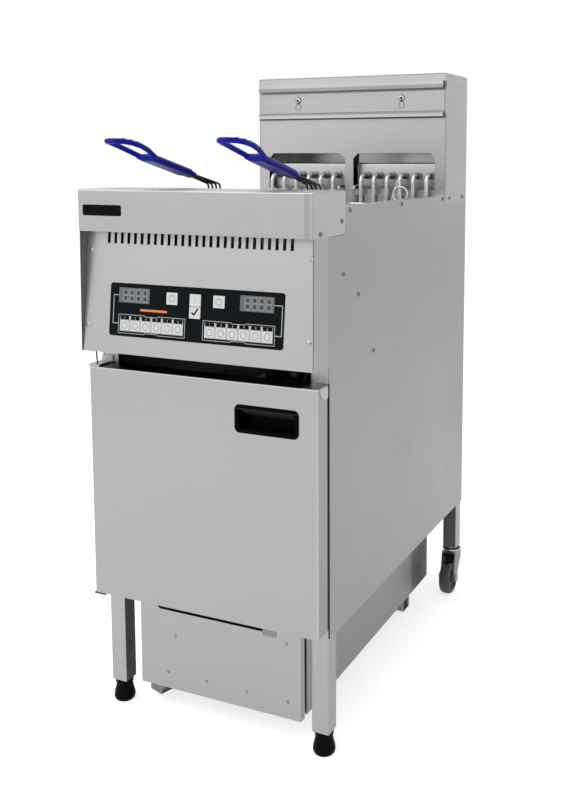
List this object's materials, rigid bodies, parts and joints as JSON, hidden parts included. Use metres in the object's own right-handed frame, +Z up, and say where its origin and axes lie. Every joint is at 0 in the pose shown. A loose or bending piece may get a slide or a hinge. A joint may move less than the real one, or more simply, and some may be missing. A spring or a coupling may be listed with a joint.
{
  "type": "electric deep fryer",
  "caption": "Free-standing electric floor fryer: stainless cabinet with open vat, wire baskets on blue grips, sloping controls, door and filter drawer.",
  "frame": {"origin": "on the floor, in the middle of the overall width and depth", "axes": "+Z up, +X to the fryer's right seen from the front, the control console and the door face -Y"},
  "size_m": [0.449, 0.8719, 1.176],
  "materials": {
    "stainless": "brushed stainless sheet with a straight grain",
    "dark_tube": "heat-tinted sheath tube",
    "wire": "bright plated wire",
    "zinc": "bright zinc plate",
    "black_moulding": "black moulded plastic",
    "overlay": "printed polyester film",
    "display": "grey display window",
    "grip": "deep blue dipped plastic",
    "tyre": "grey-black solid tyre",
    "board": "green circuit board",
    "brass_valve": "cast brass",
    "grey_cast": "grey painted casting",
    "alloy": "cast alloy motor shell"
  },
  "bodies": {
    "cabinet": {"front_posts": "stainless", "rear_posts": "stainless", "base_rails": "stainless", "left_side_panel": "stainless", "right_side_panel": "stainless", "rear_panel": "stainless", "cable_gland": "black_moulding", "riser_cowl": "stainless", "riser_face": "stainless", "basket_hanger": "stainless", "oil_tank": "stainless", "terminal_boxes": "stainless", "heating_elements": "dark_tube", "element_nuts": "zinc", "element_straps": "stainless", "temperature_probes": "stainless", "basket_rack": "wire", "rack_lift_ring": "wire", "console_hood": "stainless", "console_cheeks": "stainless", "control_fascia": "stainless", "keypad_overlay": "overlay", "display_windows": "display", "controller_board": "board", "hinge_brackets": "zinc", "door_magnet": "black_moulding", "pan_runners": "stainless", "drain_pipes": "stainless", "drain_valve": "brass_valve", "pump_shelf": "stainless", "pump_motor": "alloy", "filter_pump": "grey_cast", "suction_pipe": "stainless", "return_pipe": "stainless", "contactor_box": "stainless", "foot_plugs": "zinc", "caster_heads": "zinc"},
    "door": {"door_shell": "stainless", "door_liner": "stainless", "door_pull": "black_moulding"},
    "left_basket": {"left_basket_frame": "wire", "left_basket_mesh": "wire", "left_basket_grip": "grip"},
    "right_basket": {"right_basket_frame": "wire", "right_basket_mesh": "wire", "right_basket_grip": "grip"},
    "filter_drawer": {"filter_pan": "stainless", "pan_front": "stainless", "filter_screen": "stainless", "pan_skids": "stainless", "pickup_tube": "stainless"},
    "drain_lever": {"drain_lever": "black_moulding"},
    "left_foot": {"left_foot": "black_moulding"},
    "right_foot": {"right_foot": "black_moulding"},
    "left_caster": {"left_caster_fork": "zinc"},
    "left_caster_wheel": {"left_caster_wheel": "tyre"},
    "right_caster": {"right_caster_fork": "zinc"},
    "right_caster_wheel": {"right_caster_wheel": "tyre"}
  },
  "joints": [
    {"name": "door_hinge", "type": "hinge", "parent": "cabinet", "child": "door", "pos_m": [-0.2125, -0.343, 0.433], "axis": [0, 0, -1], "range_deg": [0, 110]},
    {"name": "left_basket_lift", "type": "slide", "parent": "cabinet", "child": "left_basket", "axis": [0, 0, 1], "range_m": [0, 0.3]},
    {"name": "right_basket_lift", "type": "slide", "parent": "cabinet", "child": "right_basket", "axis": [0, 0, 1], "range_m": [0, 0.3]},
    {"name": "filter_drawer_slide", "type": "slide", "parent": "cabinet", "child": "filter_drawer", "axis": [0, -1, 0], "range_m": [0, 0.4]},
    {"name": "drain_lever_turn", "type": "hinge", "parent": "cabinet", "child": "drain_lever", "pos_m": [0, -0.177, 0.58], "axis": [0, 0, -1], "range_deg": [0, 90]},
    {"name": "left_foot_turn", "type": "hinge", "parent": "cabinet", "child": "left_foot", "pos_m": [-0.205, -0.299, 0.02], "axis": [0, 0, 1], "continuous": true},
    {"name": "right_foot_turn", "type": "hinge", "parent": "cabinet", "child": "right_foot", "pos_m": [0.205, -0.299, 0.02], "axis": [0, 0, 1], "continuous": true},
    {"name": "left_caster_swivel", "type": "hinge", "parent": "cabinet", "child": "left_caster", "pos_m": [-0.205, 0.3945, 0.095], "axis": [0, 0, 1], "continuous": true},
    {"name": "left_caster_roll", "type": "hinge", "parent": "left_caster", "child": "left_caster_wheel", "pos_m": [-0.205, 0.3745, 0.0375], "axis": [1, 0, 0], "continuous": true},
    {"name": "right_caster_swivel", "type": "hinge", "parent": "cabinet", "child": "right_caster", "pos_m": [0.205, 0.3945, 0.095], "axis": [0, 0, 1], "continuous": true},
    {"name": "right_caster_roll", "type": "hinge", "parent": "right_caster", "child": "right_caster_wheel", "pos_m": [0.205, 0.3745, 0.0375], "axis": [1, 0, 0], "continuous": true}
  ]
}
